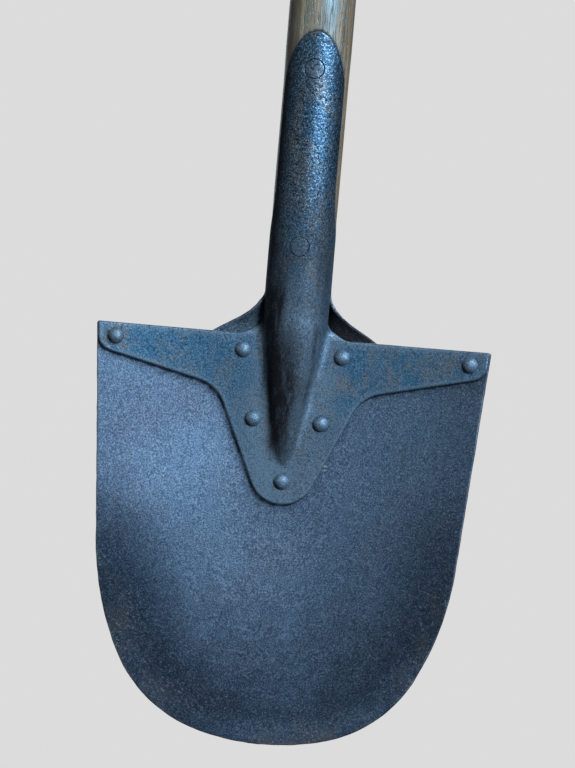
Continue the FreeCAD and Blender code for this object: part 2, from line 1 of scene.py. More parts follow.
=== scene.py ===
from math import asin, atan, atan2, copysign, cos, pi, radians, sin, sqrt, tan

import bmesh
import bpy
import numpy as np
from mathutils import Matrix, Vector, noise
from mathutils.geometry import delaunay_2d_cdt


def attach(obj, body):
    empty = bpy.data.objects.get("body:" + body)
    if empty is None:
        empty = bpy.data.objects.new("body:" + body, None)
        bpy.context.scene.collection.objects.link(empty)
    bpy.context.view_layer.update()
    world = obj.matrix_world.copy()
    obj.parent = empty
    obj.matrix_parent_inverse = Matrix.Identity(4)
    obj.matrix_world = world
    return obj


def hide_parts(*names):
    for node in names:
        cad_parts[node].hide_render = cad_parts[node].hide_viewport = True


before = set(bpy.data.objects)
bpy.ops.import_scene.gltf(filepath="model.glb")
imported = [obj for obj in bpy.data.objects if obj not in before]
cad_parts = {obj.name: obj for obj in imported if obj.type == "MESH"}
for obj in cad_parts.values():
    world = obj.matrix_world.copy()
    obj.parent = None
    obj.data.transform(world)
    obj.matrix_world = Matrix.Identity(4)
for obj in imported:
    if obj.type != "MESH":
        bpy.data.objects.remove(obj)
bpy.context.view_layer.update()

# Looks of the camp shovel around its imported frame.  Shapes are worked out in
# millimetres in the frame's axes and become metres when a mesh is made.

MM = 0.001
SHEET = 1.5                 # thickness of all the sheet metal
BLADE_TOP = 166.0
SHAFT_RADIUS = 13.5
FOOT_RADIUS = 11.85         # wood inside the closed part of the socket
TUBE_MIDDLE = SHAFT_RADIUS - SHEET / 2
CONE_TOP = 169.0            # the socket narrows below this height
CONE_SLOPE = 0.18
CONE_EASE = 5.0             # how gently the narrowing begins
NOSE_MIDDLE = 116.48        # the socket ends in a ball nose between the plates
NOSE_RADIUS = 3.98
NOSE_FADE = (109.5, 121.0)  # between these heights the nose sinks into the plates
SEAM_OPENS = 205.0
SEAM_FULL = 230.0
SEAM_SETBACK = 5.4
SEAM_GAP = 0.12             # from each strap's long edge to the seam's middle
STRAP_TOP = 289.3
STRAP_FLANK = 267.0         # above this the strap's end rounds over
STRAP_HALF_WIDTH = 12.37
SOCKET_RIVET_HEIGHTS = (273.9, 202.1)
SOCKET_RIVET_RADIUS = 4.0
RIVET_RADIUS = 3.3          # head of a blade rivet
RIVET_CROWN = 1.9
RIVET_SHANK = 2.0
GRIP_HEIGHT = 554.0
GRIP_RADIUS = 16.0
STRIP_FOOT = 482.0          # lower ends of the strip over the grip
STRIP_KNEE = 526.0          # above this the strip's legs spread to the bar
TINY = 1e-6                 # keeps divisions away from zero


# ---- small helpers

def ramp(low, high, value):
    """Smooth rise from 0 at low to 1 at high; low may be the larger of the two."""
    t = np.clip((value - low) / (high - low), 0.0, 1.0)
    return t * t * (3.0 - 2.0 * t)


def waves(points, size, seed):
    """Smooth seeded noise, about -1 to 1, whose bumps are size millimetres across."""
    if points.shape[1] == 2:
        points = np.column_stack([points, np.zeros(len(points))])
    offset = Vector((seed * 13.7, seed * 5.3, seed * 9.1))
    return np.array([noise.noise(Vector(p) / size + offset) for p in points])


def arc(start, end, radius, side, step):
    """Points after start up to end on the shorter arc; side 1 has its centre left of the chord."""
    start, end = np.array(start), np.array(end)
    chord = end - start
    length = np.hypot(*chord)
    normal = np.array([-chord[1], chord[0]]) / length
    centre = (start + end) / 2 + normal * side * sqrt(max(radius ** 2 - length ** 2 / 4, 0.0))
    first = atan2(start[1] - centre[1], start[0] - centre[0])
    last = atan2(end[1] - centre[1], end[0] - centre[0])
    turn = (last - first + pi) % (2 * pi) - pi
    count = max(2, int(abs(turn) * radius / step))
    angles = first + turn * np.arange(1, count + 1) / count
    return [tuple(centre + radius * np.array([cos(a), sin(a)])) for a in angles]


def line(start, end, step):
    """Points after start up to end on a straight line."""
    start, end = np.array(start), np.array(end)
    count = max(1, int(np.hypot(*(end - start)) / step))
    return [tuple(start + (end - start) * k / count) for k in range(1, count + 1)]


def trace(start, *runs):
    """Points along joined runs: (end, step) is straight, (end, radius, side, step) is an arc."""
    points = [start]
    for end, *rest in runs:
        points += (line if len(rest) == 1 else arc)(points[-1], end, *rest)
    return points


def mirrored(right):
    """Closed loop from its right half, which starts and ends on the axis."""
    left = [(-x, z) for x, z in reversed(right) if x > TINY]
    return np.array(right + left)


def loop_normals(loop):
    """Unit normals to the right of travel: outward on a loop that runs anticlockwise."""
    ahead = np.roll(loop, -1, 0) - loop
    ahead /= np.hypot(*ahead.T)[:, None]
    tangent = ahead + np.roll(ahead, 1, 0)
    tangent /= np.hypot(*tangent.T)[:, None]
    return np.column_stack([tangent[:, 1], -tangent[:, 0]])


BLOCK = 2000                        # points handled at a time


def gap_to_loop(points, loop):
    """Run to each point from the nearest place on a closed loop of straight runs."""
    run = np.roll(loop, -1, 0) - loop
    squared = (run ** 2).sum(1)
    result = np.empty((len(points), 2))
    for first in range(0, len(points), BLOCK):
        block = points[first:first + BLOCK]
        offset = block[:, None] - loop
        share = np.clip((offset * run).sum(2) / squared, 0.0, 1.0)
        gap = offset - share[:, :, None] * run
        nearest = (gap ** 2).sum(2).argmin(1)
        result[first:first + BLOCK] = gap[np.arange(len(block)), nearest]
    return result


def distance_to_loop(points, loop):
    return np.hypot(*gap_to_loop(points, loop).T)


SHADOW_SIDE = np.array([-0.77, -0.64])      # the lower left, away from the light: raised parts get painted shadow and grime there
OPEN_SIDE_SHARE = 0.22              # share of the darkening on their other sides, where it is grime only


def shadow_and_grime(gap, reach):
    """Painted shadow beside a raised part on the side away from the light, with some grime all round; gap
    runs outwards from its edge.
    """
    away = np.hypot(*gap.T)
    facing = np.clip((gap @ SHADOW_SIDE) / np.maximum(away, TINY), 0.0, 1.0)
    share = OPEN_SIDE_SHARE + (1.0 - OPEN_SIDE_SHARE) * facing
    return share * np.exp(-(away / reach) ** 2)


def spot(x, z, middle, reach):
    """Soft patch: 1 at its middle, fading over its reach each way."""
    return np.exp(-((x - middle[0]) / reach[0]) ** 2 - ((z - middle[1]) / reach[1]) ** 2)


def inside(points, loop):
    x1, z1 = loop.T
    x2, z2 = np.roll(loop, -1, 0).T
    result = np.zeros(len(points), bool)
    for first in range(0, len(points), BLOCK):
        px, pz = points[first:first + BLOCK].T[:, :, None]
        spans = (z1 > pz) != (z2 > pz)
        rise = np.where(z2 == z1, 1e-12, z2 - z1)
        crossing = (x2 - x1) * (pz - z1) / rise + x1
        result[first:first + BLOCK] = (spans & (px < crossing)).sum(1) % 2 == 1
    return result


# ---- mesh makers

def finish_mesh(points, faces, attributes=None):
    """Mesh in metres, with its faces turned outwards."""
    mesh = bpy.data.meshes.new("skin")
    mesh.from_pydata((points * MM).tolist(), [], faces)
    form = bmesh.new()
    form.from_mesh(mesh)
    bmesh.ops.recalc_face_normals(form, faces=form.faces)
    form.to_mesh(mesh)
    form.free()
    for key, values in (attributes or {}).items():
        layer = mesh.attributes.new(key, "FLOAT", "POINT")
        layer.data.foreach_set("value", np.asarray(values, np.float32))
    mesh.shade_smooth()
    return mesh


def show(name, data):
    """New object in the scene."""
    thing = bpy.data.objects.new(name, data)
    bpy.context.scene.collection.objects.link(thing)
    return thing


def add_piece(node, mesh, material):
    """The visible piece that takes a frame node's place."""
    mesh.name = f"{node}_skin"
    mesh.materials.append(material)
    piece = show(mesh.name, mesh)
    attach(piece, "root")
    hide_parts(node)


HOLE_EDGE = 0.15
EDGE_STEPS = (0.0, 0.08, 0.27, 0.58, 1.0)   # rows of points over a rounded edge
RING_GAP = 0.35                     # from the rounded edge to one more row
ROW_STEP = 0.87                     # rows of a grid of even triangles
FAR = 99.0


def edge_drop(edge, depth):
    """How far a face falls away at a depth inside an edge rounded to radius edge."""
    short = np.clip(edge - depth, 0.0, edge)
    return edge - np.sqrt(edge ** 2 - short ** 2)


def sheet_solid(outline, surface, spacing, extra, holes=(), half=None, edge=0.4):
    """Closed solid of a bent sheet.

    outline and holes are loops in the flat pattern; surface(pattern) gives middle
    points and unit normals; half(pattern, depth) the half thickness;
    extra(pattern, depth) the wear and painted shade, for one face or for the front and then the back.
    """
    loops = []
    for loop, sign, radius in [(outline, -1.0, edge)] + [(hole, 1.0, HOLE_EDGE) for hole in holes]:
        normals = loop_normals(loop)
        depths = [radius * step for step in EDGE_STEPS] + [radius + RING_GAP]
        loops += [loop + normals * depth * sign for depth in depths]
    borders = [(len(EDGE_STEPS) + 1) * k for k in range(len(holes) + 1)]

    low, high = outline.min(0), outline.max(0)
    grid = np.array([(x, z) for row, z in enumerate(np.arange(low[1], high[1], spacing * ROW_STEP))
                     for x in np.arange(low[0] + spacing / 2 * (row % 2), high[0], spacing)])
    grid = grid[inside(grid, outline)]
    margin = edge + 0.3 + spacing * 0.45
    clear = distance_to_loop(grid, outline) > margin
    for hole in holes:
        clear &= ~inside(grid, hole) & (distance_to_loop(grid, hole) > margin)
    grid = grid[clear]

    vertices, edges, firsts = [], [], []
    for loop in loops:
        first, count = len(vertices), len(loop)
        firsts.append(first)
        vertices += [Vector(p) for p in loop]
        edges += [(first + k, first + (k + 1) % count) for k in range(count)]
    vertices += [Vector(p) for p in grid]
    flat, _, triangles, origins, _, _ = delaunay_2d_cdt(vertices, edges, [], 0, 1e-5, True)
    flat = np.array([tuple(p) for p in flat])
    triangles = np.array([t for t in triangles if len(t) == 3])
    centres = flat[triangles].mean(1)
    kept = inside(centres, outline)
    for hole in holes:
        kept &= ~inside(centres, hole)
    triangles = triangles[kept]
    place_of = {source: place for place, sources in enumerate(origins) for source in sources}

    depth = distance_to_loop(flat, outline)
    bored = np.full(len(flat), FAR)
    for hole in holes:
        bored = np.minimum(bored, distance_to_loop(flat, hole))
    border_rings = []
    for border in borders:
        ring = [place_of[firsts[border] + k] for k in range(len(loops[border]))]
        (depth if border == 0 else bored)[ring] = 0.0
        border_rings.append(ring)
    middle, normal = surface(flat)
    thick = np.full(len(flat), SHEET / 2) if half is None else half(flat, depth)
    height = thick - np.maximum(edge_drop(edge, depth), edge_drop(HOLE_EDGE, bored))
    depth = np.minimum(depth, bored)
    front = middle + normal * height[:, None]
    back = middle - normal * height[:, None]
    count = len(flat)
    faces = [tuple(t) for t in triangles]
    faces += [tuple(int(v) + count for v in reversed(t)) for t in triangles]
    for ring in border_rings:
        for here, ahead in zip(ring, ring[1:] + ring[:1]):
            faces.append((here, ahead, ahead + count, here + count))
    used = np.zeros(2 * count, bool)
    used[[v for face in faces for v in face]] = True
    renumber = np.cumsum(used) - 1
    faces = [tuple(int(renumber[v]) for v in face) for face in faces]
    points = np.vstack([front, back])[used]
    attributes = {"rim": np.tile(depth, 2)[used]}
    for key, values in extra(flat, depth).items():
        both = np.tile(values, 2) if len(values) == count else values
        attributes[key] = both[used]
    return finish_mesh(points, faces, attributes)


def lathe(profile, segments, axis="Z", shape=None):
    """Points and faces of a turned solid.

    profile lists (along, radius) and starts and ends at radius 0; shape(points)
    bends the points before they are turned from Z to the axis.
    """
    along, radius = np.array(profile, float).T
    angles = 2 * pi * np.arange(segments) / segments
    rings = [np.column_stack([r * np.sin(angles), -r * np.cos(angles), np.full(segments, a)])
             for a, r in zip(along[1:-1], radius[1:-1])]
    points = np.vstack([[0.0, 0.0, along[0]]] + rings + [[0.0, 0.0, along[-1]]])
    if shape is not None:
        points = shape(points)
    faces = []
    count = len(rings)
    for k in range(segments):
        ahead = (k + 1) % segments
        faces.append((0, 1 + ahead, 1 + k))
        for ring in range(count - 1):
            base = 1 + ring * segments
            faces.append((base + k, base + ahead, base + segments + ahead, base + segments + k))
        last = 1 + (count - 1) * segments
        faces.append((last + k, last + ahead, len(points) - 1))
    if axis == "X":
        points = points[:, [2, 0, 1]]
    elif axis == "Y":
        points = points[:, [0, 2, 1]] * (1.0, 1.0, -1.0)
    return points, faces


# ---- surfaces of the sheets

DISH_FLAT = 10.0
DISH_BEND = 367.0
CURL_TOP = 95.0
CURL_BEND = 900.0


def dish(x, z):
    """How far behind the flat (negative: in front) the blade's middle surface runs."""
    sides = np.maximum(np.abs(x) - DISH_FLAT, 0.0) ** 2 / (2 * DISH_BEND)
    curl = np.maximum(CURL_TOP - z, 0.0) ** 2 / (2 * CURL_BEND)
    return -sides - curl


def beaten(x, z):
    """Slight unevenness that blade and straps share where they lie on each other."""
    flat = np.column_stack([x, z])
    return 0.16 * waves(flat, 34.0, 1) + 0.05 * waves(flat, 13.0, 2)


def with_normals(place, pattern, step=0.05):
    """Middle points and unit normals, towards the front, of a mapped pattern."""
    u, v = pattern.T
    middle = place(u, v)
    du = place(u + step, v) - place(u - step, v)
    dv = place(u, v + step) - place(u, v - step)
    normal = np.cross(du, dv)
    normal /= np.linalg.norm(normal, axis=1)[:, None]
    return middle, normal


def blade_place(x, z):
    return np.column_stack([x, dish(x, z) + beaten(x, z), z])


SMALLEST_BEND = SHEET + 1e-4        # the socket's radius where it has sunk into the plate
WIDEST_PATTERN = 120.0
ROOT_LEAVES_BLADE = 12.0            # height over which a strap's root frees itself of the dish
DISH_FADES = 4.0                    # distance from the plate over which the dish fades


class StrapShape:
    """A strap's middle surface: half a tube that opens into plates on the blade."""

    def __init__(self, side, fillet, wrap):
        self.side = side            # -1 in front of the blade, 1 behind it
        self.fillet = fillet
        self.wrap = wrap            # heights between which it closes round the shaft

    def radius(self, z):
        below = CONE_EASE * np.logaddexp(0.0, (CONE_TOP - z) / CONE_EASE)
        cone = TUBE_MIDDLE - CONE_SLOPE * below
        under = np.clip(NOSE_MIDDLE - z, 0.0, NOSE_RADIUS)
        nose = np.sqrt(NOSE_RADIUS ** 2 - under ** 2) - SHEET / 2
        ball = np.maximum(np.where(z < NOSE_MIDDLE, np.minimum(nose, cone), cone), SHEET)
        return np.maximum(SHEET + (ball - SHEET) * ramp(*NOSE_FADE, z), SMALLEST_BEND)

    def flared(self, s, z):
        """Across and forward of the section that runs out into the plate."""
        r = self.radius(z)
        rho = self.fillet
        hub = np.sqrt(np.maximum((r + rho) ** 2 - (SHEET + rho) ** 2, 0.0))
        turn = np.arctan2(hub, SHEET + rho)
        on_tube = s / r
        bend = turn - (s - r * turn) / rho
        ends = (r + rho) * turn
        x = np.where(s < r * turn, r * np.sin(on_tube),
                     np.where(s < ends, hub - rho * np.sin(bend), hub + s - ends))
        f = np.where(s < r * turn, r * np.cos(on_tube),
                     np.where(s < ends, SHEET + rho - rho * np.cos(bend), SHEET))
        return x, f

    def wrapped(self, s, z):
        r = self.radius(z)
        quarter = r * pi / 2
        x = np.where(s < quarter, r * np.sin(s / r), r)
        f = np.where(s < quarter, r * np.cos(s / r), quarter - s)
        return x, f

    def section(self, s, z):
        size = np.abs(s)
        share = ramp(*self.wrap, z)
        xf, ff = self.flared(size, z)
        xw, fw = self.wrapped(size, z)
        return np.sign(s) * (xf + (xw - xf) * share), ff + (fw - ff) * share

    def place(self, s, z):
        x, f = self.section(s, z)
        on_blade = 1.0 - ramp(BLADE_TOP, BLADE_TOP + ROOT_LEAVES_BLADE, z)
        flat_part = ramp(0.0, 1.0, 1.0 - (f - SHEET) / DISH_FADES)
        y = self.side * f + (dish(x, z) + beaten(x, z)) * on_blade * flat_part
        return np.column_stack([x, y, z])

    def across(self, x, z):
        """Pattern width s whose section point at height z lies at x."""
        s = np.linspace(0.0, WIDEST_PATTERN, 4801)
        reached, _ = self.section(s, np.full(len(s), z))
        return np.interp(x, np.maximum.accumulate(reached), s)


def seam_edge(z):
    """Pattern width of a socket half's long edge at height z, above the roots."""
    left_to_go = 1.0 - np.clip((z - SEAM_OPENS) / (SEAM_FULL - SEAM_OPENS), 0.0, 1.0)
    setback = SEAM_SETBACK * (1.0 - left_to_go ** 2)
    return TUBE_MIDDLE * np.arccos(setback / SHAFT_RADIUS) - SEAM_GAP


def strap_plate_line(step=0.9):
    """Right half of a strap's edge on the blade, from the tongue's tip to the wing's top corner."""
    return trace((0.0, 97.4), ((12.3, 105.3), 13.5, 1, step), ((26.0, 135.4), step),
                 ((37.0, 145.4), 16.0, -1, step), ((73.6, 154.0), step), ((79.4, 161.5), 7.0, 1, step),
                 ((79.7, 165.3), step), ((79.0, 166.0), 0.8, 1, 0.3))


def strap_pattern(shape, root, reach):
    """Closed flat pattern of a strap.

    root is its edge beside the socket as (x, height), reach how far that may pass the side.
    """
    right = [(shape.across(x, z), z) for x, z in strap_plate_line()]
    right += line(right[-1], (shape.across(*root[0]), BLADE_TOP), 1.0)
    quarter = seam_edge(BLADE_TOP)
    for x, z in root[1:]:
        limit = quarter + reach if z > BLADE_TOP + 3.0 else WIDEST_PATTERN
        right.append((min(shape.across(x, z), limit), z))
    root_end, root_top = right[-1]
    blend = 6.0                     # height over which the root runs into the seam
    for share in np.linspace(0.15, 1.0, 6):
        right.append((root_end + (quarter - root_end) * ramp(0.0, 1.0, share), root_top + blend * share))
    heights = np.arange(root_top + blend + 1.2, STRAP_FLANK - 0.6, 1.3)
    right += list(zip(seam_edge(heights), heights))
    widest = seam_edge(STRAP_FLANK)
    rise = STRAP_TOP - STRAP_FLANK
    for angle in np.radians(np.arange(3.0, 90.1, 3.0)):     # the rounded upper end
        x = STRAP_HALF_WIDTH * cos(angle)
        s = TUBE_MIDDLE * asin(x / SHAFT_RADIUS)
        right.append((min(s, widest), STRAP_FLANK + rise * sin(angle)))
    right[-1] = (0.0, STRAP_TOP)
    return mirrored(right)


# ---- materials

BLADE_DARK = (0.225, 0.358, 0.580)
BLADE_LIGHT = (0.235, 0.430, 0.710)
BLADE_WARM = (0.290, 0.370, 0.510)
# darkest blade colour: painted shade, and the mottled darkening towards the tip
BLADE_DEEP = (0.006, 0.012, 0.026)
BLADE_PIT = (0.030, 0.052, 0.090)
BLADE_GLINT = (0.56, 0.78, 1.0)
BLADE_SPECK = (0.24, 0.42, 0.62)
SOIL_STAIN = (0.060, 0.054, 0.048)
RIM_FLECK = (0.34, 0.44, 0.52)
BARE_STEEL = (0.55, 0.60, 0.52)
WORN_EDGE = (0.26, 0.31, 0.38)
STRAP_DARK = (0.085, 0.140, 0.200)
STRAP_GREY = (0.145, 0.215, 0.290)
STRAP_BLUE = (0.028, 0.150, 0.300)
STRAP_WORN = (0.185, 0.200, 0.225)
STRAP_BROWN = (0.130, 0.125, 0.122)
STRAP_PALE = (0.225, 0.385, 0.580)
STRAP_PIT = (0.006, 0.009, 0.016)
STRAP_DEEP = (0.006, 0.010, 0.018)
STRAP_GLINT = (0.22, 0.36, 0.50)
STRAP_SPECK = (0.26, 0.32, 0.40)
# colour of soot and of painted shade on the steel
SOOT_AND_SHADE = (0.008, 0.009, 0.012)
PORE = (0.028, 0.02, 0.015)
# colour of grime and painted shade on the wood
WOOD_GRIME_AND_SHADE = (0.02, 0.018, 0.016)
WOOD_SHEEN = (0.30, 0.72, 1.0, 1.0)

BARE_NICK = (0.0166, 0.0, 0.1139)   # place of the nick beside the tongue, in metres
GRAIN = 1700.0                      # steel grains to the metre
METALLIC = 0.95


def empty_tree(block):
    """Emptied node tree of a material or world."""
    block.use_nodes = True
    block.node_tree.nodes.clear()
    return block.node_tree


def new_material(name):
    """A material, its node helper and the sockets of its one Principled shader."""
    material = bpy.data.materials.new(name)
    tree = empty_tree(material)
    output = tree.nodes.new("ShaderNodeOutputMaterial")
    shader = tree.nodes.new("ShaderNodeBsdfPrincipled")
    tree.links.new(shader.outputs["BSDF"], output.inputs["Surface"])
    return material, Nodes(tree), shader.inputs


class Nodes:
    """Short ways to add and join shader nodes."""

    def __init__(self, tree):
        self.tree = tree
        self.coords = tree.nodes.new("ShaderNodeTexCoord").outputs["Object"]

    def put(self, socket, value):
        if isinstance(value, bpy.types.NodeSocket):
            self.tree.links.new(value, socket)
        else:
            socket.default_value = value

    def fill(self, sockets, **values):
        """Values for sockets, whose names are written with _ for spaces."""
        for key, value in values.items():
            self.put(sockets[key.replace("_", " ")], value)

    def add(self, kind, **values):
        node = self.tree.nodes.new("ShaderNode" + kind)
        self.fill(node.inputs, **values)
        return node

    def stretch(self, scale, shift=(0.0, 0.0, 0.0)):
        return self.add("Mapping", Vector=self.coords, Scale=scale, Location=shift).outputs["Vector"]

    def noise(self, scale, detail=2.0, rough=0.5, coords=None, warp=0.0):
        return self.add("TexNoise", Vector=coords or self.coords, Scale=scale, Detail=detail,
                        Roughness=rough, Distortion=warp).outputs["Fac"]

    def attribute(self, name):
        node = self.add("Attribute")
        node.attribute_name = name
        return node.outputs["Fac"]

    def remap(self, value, low, high, to_low=0.0, to_high=1.0, smooth=False):
        node = self.add("MapRange", Value=value, From_Min=low, From_Max=high, To_Min=to_low, To_Max=to_high)
        node.interpolation_type = "SMOOTHSTEP" if smooth else "LINEAR"
        return node.outputs["Result"]

    def math(self, kind, first, second, clamp=False):
        node = self.add("Math")
        node.operation = kind
        node.use_clamp = clamp
        for socket, value in zip(node.inputs, (first, second)):
            self.put(socket, value)
        return node.outputs["Value"]

    def times(self, product, *factors, clamp=False):
        for factor in factors:
            product = self.math("MULTIPLY", product, factor, clamp)
        return product

    def plus(self, first, second):
        return self.math("ADD", first, second)

    def rest_of(self, share):
        return self.math("SUBTRACT", 1.0, share)

    def mix(self, share, first, second):
        node = self.add("Mix", Factor=share)
        node.data_type = "RGBA"
        sockets = [s for s in node.inputs if s.type == "RGBA"]
        for socket, value in zip(sockets, (first, second)):
            self.put(socket, value if isinstance(value, bpy.types.NodeSocket) else (*value, 1.0))
        return [s for s in node.outputs if s.type == "RGBA"][0]

    def coats(self, colour, *coats):
        """A colour under coats of (share, colour)."""
        for share, coat in coats:
            colour = self.mix(share, colour, coat)
        return colour

    def away_from(self, place):
        """Distance from a place on the object, in metres."""
        node = self.add("VectorMath")
        node.operation = "DISTANCE"
        for socket, value in zip(node.inputs, (self.coords, place)):
            self.put(socket, value)
        return node.outputs["Value"]

    def bump(self, height, distance, strength=1.0, normal=None):
        node = self.add("Bump", Height=height, Distance=distance, Strength=strength)
        if normal is not None:
            self.put(node.inputs["Normal"], normal)
        return node.outputs["Normal"]


def edge_wear(n, rim, reach):
    """Patchy wear that starts within reach, from full to none, of a sheet's edge."""
    return n.times(n.remap(rim, *reach), n.remap(n.noise(150.0, 3.0), 0.38, 0.60))


def blade_steel_material():
    """Blued blade: fine grain, painted shade and highlights from its tone, dark mottled lower part, soil
    stains and flecks at the rim.
    """
    material, n, sockets = new_material("blade_steel")
    rim = n.attribute("rim")
    soil = n.attribute("soil")
    pebbles, ripple = n.noise(GRAIN, 2.0, 0.6), n.noise(420.0, 3.0, 0.65)
    clouds = n.noise(20.0, 5.0, 0.62, warp=0.4)

    mottle = n.remap(n.noise(80.0, 7.0, 0.78), 0.44, 0.62, 0.0, 0.34)
    stain = n.times(n.remap(n.noise(55.0, 5.0, 0.7), 0.48, 0.64), n.remap(rim, 17.0, 1.0), soil, 0.6)
    flecks = n.times(n.remap(n.noise(900.0, 4.0, 0.75), 0.56, 0.66), n.remap(n.noise(60.0, 4.0), 0.36, 0.58),
                     n.remap(rim, 46.0, 3.0), 0.42)
    nick = n.times(n.remap(n.away_from(BARE_NICK), 0.0019, 0.0009), n.remap(ripple, 0.46, 0.52))
    colour = n.coats(
        n.mix(n.remap(clouds, 0.34, 0.66, smooth=True), BLADE_DARK, BLADE_LIGHT),
        (n.remap(ripple, 0.42, 0.66, 0.0, 0.18), BLADE_WARM),
        (n.remap(pebbles, 0.36, 0.49, 0.46, 0.0), BLADE_PIT),
        (n.remap(pebbles, 0.52, 0.66, 0.0, 0.55), BLADE_GLINT),
        # painted shade and highlights carried by the tone attribute
        (n.rest_of(n.attribute("tone")), BLADE_DEEP),
        (n.times(mottle, soil), BLADE_DEEP),
        (n.remap(pebbles, 0.54, 0.66, 0.0, 0.12), BLADE_SPECK),
        (stain, SOIL_STAIN),
        (flecks, RIM_FLECK),
        (n.times(edge_wear(n, rim, (0.8, 0.2)), 0.45), WORN_EDGE),
        (n.times(nick, 0.9), BARE_STEEL))
    roughness = n.remap(n.plus(ripple, pebbles), 0.80, 1.20, 0.40, 0.48)
    n.fill(sockets, Base_Color=colour, Metallic=METALLIC, Roughness=n.plus(roughness, n.times(stain, 0.2)),
           Normal=n.bump(pebbles, 0.00003, 1.0, n.bump(ripple, 0.000035, 0.7)))
    return material


def strap_steel_material(name, patches, rough=0.0):
    """Forged strap: pitted skin, blue finish worn into soft patches, streaks of soot and grime with painted
    shade.
    """
    material, n, sockets = new_material(name)
    rim = n.attribute("rim")
    coarse = n.attribute("coarse")
    keeps_blue = n.attribute("blue")
    lost_blue = n.rest_of(keeps_blue)
    pebbles, ripple = n.noise(GRAIN, 2.0, 0.6), n.noise(680.0, 3.0, 0.65)
    blotches = n.noise(72.0, 8.0, 0.74, n.stretch((1.0, 1.0, 0.7)), 0.6)
    streaks = n.noise(170.0, 5.0, 0.65, n.stretch((1.0, 1.0, 0.28)), 0.5)
    # soot and painted shade, broken into streaks
    soot = n.times(n.attribute("soot"), n.remap(streaks, 0.40, 0.60, 0.88, 1.10), clamp=True)

    pits = n.plus(n.times(n.remap(ripple, 0.49, 0.38), coarse), n.times(n.remap(pebbles, 0.47, 0.36), 0.8))
    colour = n.coats(
        n.mix(n.remap(ripple, 0.36, 0.64), STRAP_DARK, STRAP_GREY),
        (n.times(n.remap(blotches, 0.42, 0.53), keeps_blue, patches), STRAP_BLUE),
        (n.times(lost_blue, 0.55), STRAP_PALE),
        (n.times(n.remap(streaks, 0.54, 0.64), lost_blue, 0.35), STRAP_BROWN),
        (n.times(n.remap(blotches, 0.46, 0.38), keeps_blue, 0.4), STRAP_WORN),
        (n.times(pits, 0.60, clamp=True), STRAP_PIT),
        (n.times(coarse, 0.52), STRAP_DEEP),
        (n.remap(pebbles, 0.53, 0.65, 0.0, 0.50), STRAP_GLINT),
        (soot, SOOT_AND_SHADE),
        (n.remap(pebbles, 0.57, 0.68, 0.0, 0.09), STRAP_SPECK),
        (n.times(edge_wear(n, rim, (0.9, 0.3)), 0.10), WORN_EDGE))
    hammered = n.bump(n.times(n.plus(coarse, 0.12), ripple), 0.00016, 0.9)
    polish = n.remap(n.plus(ripple, pebbles), 0.80, 1.20, 0.54 + rough, 0.44 + rough)
    n.fill(sockets, Base_Color=colour, Metallic=n.remap(soot, 0.0, 1.0, METALLIC, 0.3),
           Roughness=n.plus(polish, n.times(soot, 0.2)), Normal=n.bump(pebbles, 0.00004, 1.0, hammered),
           Specular_IOR_Level=n.remap(soot, 0.0, 1.0, 0.5, 0.05))
    return material


def wood_material(name, along, dark, light, rough, grime=False):
    """Weathered ash: open grain along one axis, dark pores, hand polish."""
    material, n, sockets = new_material(name)

    def lengthwise(share, *shift):
        """Coordinates that stretch a noise along the grain."""
        return n.stretch([share if axis == along else 1.0 for axis in "XYZ"], *shift)

    grain = lengthwise(0.055)
    bands = n.noise(260.0, 4.0, 0.6, grain, 0.6)
    streaks = n.noise(900.0, 4.0, 0.7, grain, 0.3)
    pores = n.remap(n.noise(2300.0, 2.0, 0.6, lengthwise(0.03, (0.3, 0.7, 0.1))), 0.56, 0.66)
    patches = n.noise(22.0, 3.0, 0.6)
    tone = n.plus(n.times(bands, 0.5), n.times(streaks, 0.5))
    colour = n.coats(
        n.mix(n.remap(tone, 0.38, 0.62), dark, light),
        (n.times(pores, 0.75), PORE),
        (n.remap(patches, 0.45, 0.75, 0.0, 0.5), tuple(0.45 * v for v in light)))
    # grime and painted shade where the wood meets the metal
    if grime:
        colour = n.mix(n.attribute("grime"), colour, WOOD_GRIME_AND_SHADE)
    relief = n.math("SUBTRACT", streaks, n.times(pores, 0.6))
    n.fill(sockets, Base_Color=colour, Roughness=n.remap(streaks, 0.35, 0.65, *rough),
           Normal=n.bump(relief, 0.00022, 0.8), IOR=1.6, Specular_IOR_Level=1.0, Specular_Tint=WOOD_SHEEN)
    return material


blade_steel = blade_steel_material()
strap_steel = strap_steel_material("strap_steel", 0.8)
rivet_steel = strap_steel_material("rivet_steel", 0.2, 0.14)
shaft_wood = wood_material("shaft_wood", "Z", (0.062, 0.042, 0.020), (0.205, 0.145, 0.080), (0.36, 0.48),
                           grime=True)
grip_wood = wood_material("grip_wood", "X", (0.035, 0.026, 0.018), (0.135, 0.105, 0.075), (0.42, 0.56))
wedge_wood = wood_material("wedge_wood", "Z", (0.10, 0.07, 0.04), (0.25, 0.19, 0.12), (0.6, 0.8))


# ---- blade

